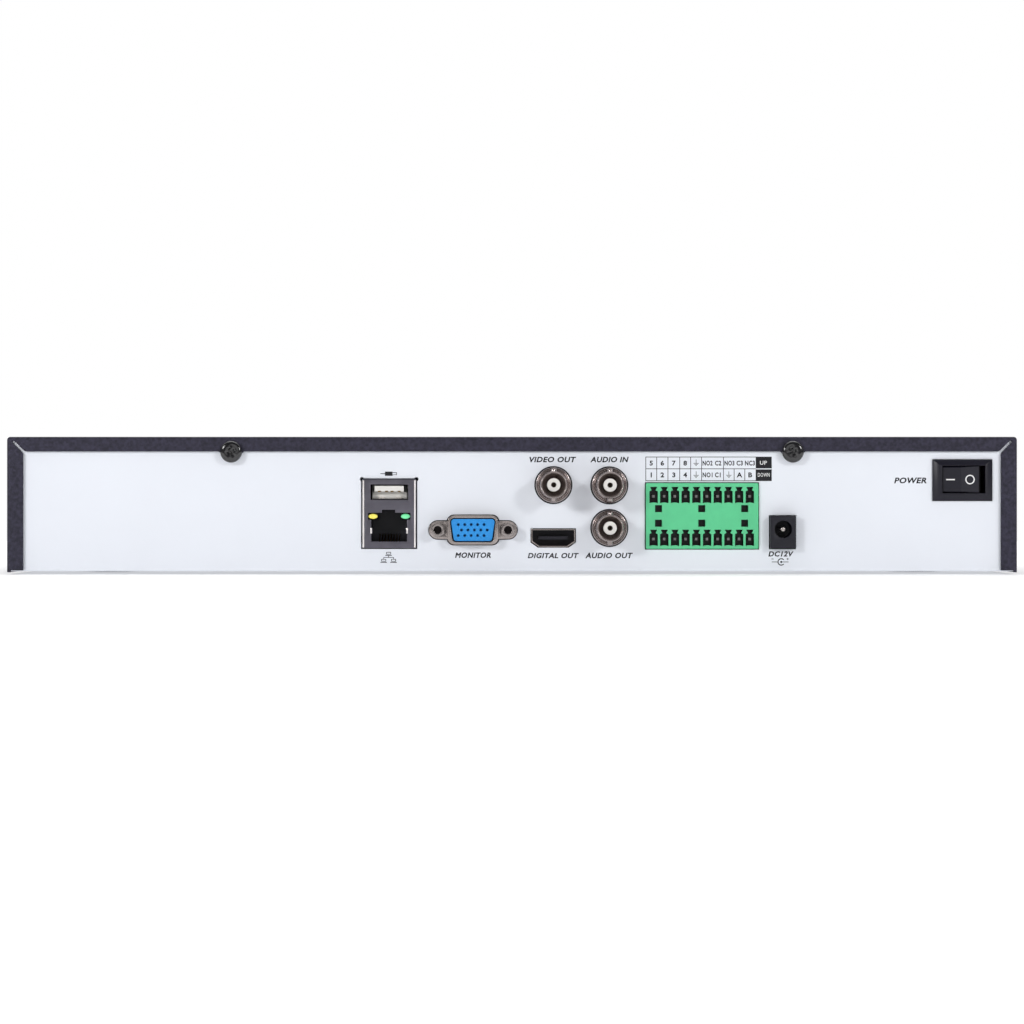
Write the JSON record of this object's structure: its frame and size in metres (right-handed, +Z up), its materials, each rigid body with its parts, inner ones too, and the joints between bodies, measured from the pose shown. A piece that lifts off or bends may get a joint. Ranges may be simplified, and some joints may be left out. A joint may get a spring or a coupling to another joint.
{
  "type": "surveillance video recorder",
  "caption": "Slim desktop video recorder: pale rear panel with network, monitor, coaxial, terminal and power sockets under a dark slide-on cover.",
  "frame": {"origin": "middle of the bottom of the whole box, on the surface the feet stand on", "axes": "+X to the right when facing the rear connector panel, which faces -Y; +Z up; the front fascia faces +Y"},
  "size_m": [0.36, 0.2666, 0.049],
  "materials": {
    "cover_paint": "fine-textured dark powder coat",
    "panel_paint": "smooth pale paint",
    "black_steel": "black oxide, glossy",
    "zinc_steel": "bright zinc plate",
    "nickel": "nickel plate",
    "gold": "gold flash",
    "tin": "tin plate",
    "rubber": "matt",
    "black_plastic": "fine matt",
    "switch_plastic": "satin",
    "white_plastic": "satin",
    "blue_plastic": "satin",
    "green_plastic": "satin",
    "lamp_yellow": "clear diffusing",
    "lamp_green": "clear diffusing",
    "board_green": "solder mask",
    "chip_black": "moulded epoxy",
    "relay_plastic": "moulded",
    "can_sleeve": "sleeve with bare top",
    "cast_aluminium": "cast, satin",
    "fin_aluminium": "extruded",
    "disc_mirror": "polished",
    "lead_jacket": "satin jacket",
    "red_jacket": "satin jacket",
    "ribbon_grey": "ribbed",
    "front_plastic": "fine spark-eroded",
    "lens_plastic": "dark, polished",
    "guide_plastic": "clear"
  },
  "bodies": {
    "case": {"chassis_tray": "panel_paint", "rubber_feet": "rubber", "network_shield": "nickel", "network_body": "black_plastic", "port_contacts": "gold", "link_lamp_yellow": "lamp_yellow", "link_lamp_green": "lamp_green", "usb_tongue": "white_plastic", "monitor_socket_shell": "nickel", "monitor_socket_insert": "blue_plastic", "monitor_socket_body": "black_plastic", "monitor_socket_posts": "nickel", "digital_socket_shell": "nickel", "digital_socket_tongue": "black_plastic", "coax_jacks": "nickel", "coax_insulators": "white_plastic", "coax_contacts": "gold", "coax_bases": "black_plastic", "terminal_header": "green_plastic", "terminal_pins": "tin", "dc_socket_body": "switch_plastic", "dc_socket_contacts": "nickel", "switch_housing": "switch_plastic", "switch_terminals": "tin", "switch_leads": "red_jacket", "main_board": "board_green", "board_standoffs": "zinc_steel", "board_screws": "zinc_steel", "board_chips": "chip_black", "board_coils": "chip_black", "heat_sink": "fin_aluminium", "capacitors": "can_sleeve", "alarm_relays": "relay_plastic", "coin_cell": "zinc_steel", "coin_cell_holder": "black_plastic", "buzzer": "black_plastic", "board_sockets": "white_plastic", "drive_base": "cast_aluminium", "drive_lid": "fin_aluminium", "drive_board": "board_green", "drive_magnet": "zinc_steel", "drive_mounts": "zinc_steel", "drive_leads": "lead_jacket", "fan_frame": "black_plastic", "fan_screws": "zinc_steel", "fan_lead": "lead_jacket", "front_ribbon": "ribbon_grey", "front_fascia": "front_plastic", "front_lens": "lens_plastic", "front_board": "board_green", "front_light_guides": "guide_plastic", "front_usb_shell": "nickel", "front_usb_tongue": "white_plastic", "fascia_screws": "zinc_steel"},
    "cover": {"top_cover": "cover_paint", "cover_screws": "black_steel"},
    "rocker": {"switch_rocker": "switch_plastic"},
    "fan_wheel": {"fan_rotor": "black_plastic"},
    "discs": {"drive_platters": "disc_mirror"},
    "head_arm": {"drive_arm": "cast_aluminium"}
  },
  "joints": [
    {"name": "power_switch", "type": "hinge", "parent": "case", "child": "rocker", "pos_m": [0.16087, -0.11755, 0.0338], "axis": [0, 0, 1], "range_deg": [0, 24]},
    {"name": "cover_slide", "type": "slide", "parent": "case", "child": "cover", "axis": [0, -1, 0], "range_m": [0, 0.262]},
    {"name": "fan_spin", "type": "hinge", "parent": "case", "child": "fan_wheel", "pos_m": [-0.1727, -0.06035, 0.024], "axis": [1, 0, 0], "continuous": true},
    {"name": "disc_spin", "type": "hinge", "parent": "case", "child": "discs", "pos_m": [-0.117, 0.06245, 0.018], "axis": [0, 0, 1], "continuous": true},
    {"name": "head_swing", "type": "hinge", "parent": "case", "child": "head_arm", "pos_m": [-0.057, 0.04765, 0.018], "axis": [0, 0, 1], "range_deg": [0, 34]}
  ]
}
